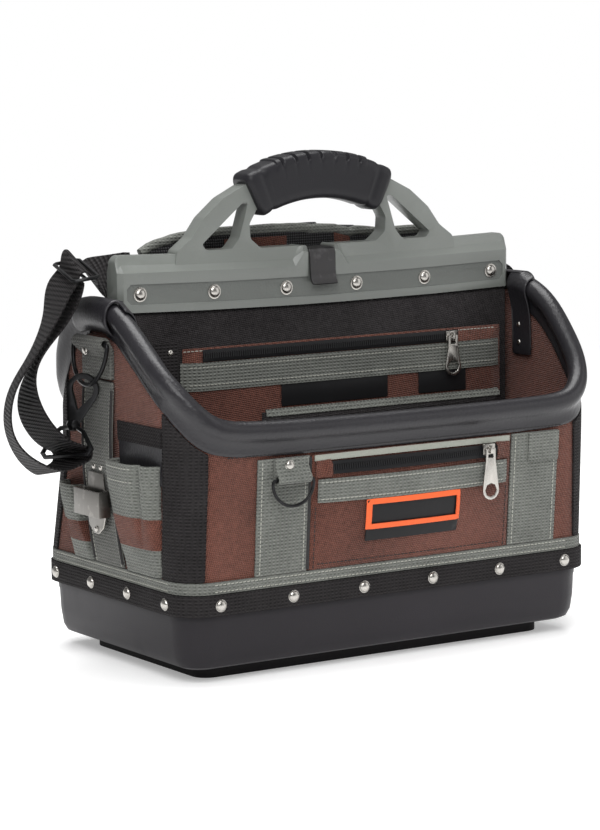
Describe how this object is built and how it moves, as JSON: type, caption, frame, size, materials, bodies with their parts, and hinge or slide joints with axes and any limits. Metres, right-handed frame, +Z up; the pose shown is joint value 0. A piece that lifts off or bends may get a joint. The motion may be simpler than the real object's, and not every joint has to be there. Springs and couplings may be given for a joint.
{
  "type": "open top tool tote",
  "caption": "Open top tool bag with a hard moulded base, tube rims, a centre panel, a stiff handle spine with an arched grip, outside pockets and a shoulder strap",
  "frame": {"origin": "middle of the flat underside of the foot, on the ground plane", "axes": "+X along the length to the right seen from the front, -Y out of the front bin, +Z up; the bag rests on the foot"},
  "size_m": [0.5709, 0.27, 0.4247],
  "materials": {
    "tray": "moulded, fine grain",
    "band": "satin sheet",
    "vinyl": "coated cloth, satin",
    "twill": "woven twill",
    "grey_webbing": "coarse woven tape",
    "black_webbing": "coarse woven tape",
    "black_metal": "black, satin",
    "label": "smooth woven cloth",
    "pad_mesh": "open knit mesh",
    "spine": "satin",
    "rubber": "soft, ribbed",
    "dark_steel": "dark brushed",
    "steel": "bright nickel"
  },
  "bodies": {
    "bag": {"base_tray": "tray", "base_band": "band", "base_binding": "grey_webbing", "body_wall": "twill", "rim_front": "vinyl", "rim_rear": "vinyl", "rim_cap_left": "vinyl", "corner_webbing_front_left": "black_webbing", "side_pocket_front_left": "twill", "corner_webbing_rear_left": "black_webbing", "side_pocket_rear_left": "twill", "side_strap_left": "grey_webbing", "side_ring_tab_left": "grey_webbing", "side_ring_left": "black_metal", "snap_hook_left": "black_metal", "rim_cap_right": "vinyl", "corner_webbing_front_right": "black_webbing", "side_pocket_front_right": "twill", "corner_webbing_rear_right": "black_webbing", "side_pocket_rear_right": "twill", "side_strap_right": "grey_webbing", "side_ring_tab_right": "grey_webbing", "side_ring_right": "black_metal", "snap_hook_right": "black_metal", "front_strap_left": "grey_webbing", "front_strap_right": "grey_webbing", "rear_strap_left": "grey_webbing", "rear_strap_right": "grey_webbing", "tape_holder": "dark_steel", "strap_left": "black_webbing", "strap_right": "black_webbing", "strap_slider": "black_metal", "shoulder_pad": "pad_mesh", "front_pocket": "twill", "front_zip": "label", "front_zip_tape": "grey_webbing", "front_label": "label", "front_zip_slider": "steel", "front_ring_tab": "grey_webbing", "centre_panel": "black_webbing", "panel_pocket": "twill", "panel_low_pocket": "black_webbing", "panel_rear_pocket": "black_webbing", "panel_zip": "label", "panel_label": "label", "panel_tag": "label", "panel_zip_slider": "steel", "spine": "spine", "grip": "rubber", "spine_clip": "dark_steel", "spine_rivet_1": "steel", "spine_rivet_2": "steel", "spine_rivet_3": "steel", "spine_rivet_4": "steel", "spine_rivet_5": "steel", "spine_rivet_6": "steel"},
    "ring": {"front_ring": "steel"},
    "pull_front": {"front_zip_pull": "steel"},
    "pull_panel": {"panel_zip_pull": "steel"}
  },
  "joints": [
    {"name": "ring_swing", "type": "hinge", "parent": "bag", "child": "ring", "pos_m": [-0.111, -0.13648, 0.167], "axis": [-1, 0, 0], "range_deg": [0, 110]},
    {"name": "front_pull_swing", "type": "hinge", "parent": "bag", "child": "pull_front", "pos_m": [0.085, -0.14011, 0.174], "axis": [-1, 0, 0], "range_deg": [0, 110]},
    {"name": "panel_pull_swing", "type": "hinge", "parent": "bag", "child": "pull_panel", "pos_m": [0.131, -0.02205, 0.258], "axis": [-1, 0, 0], "range_deg": [0, 110]}
  ]
}
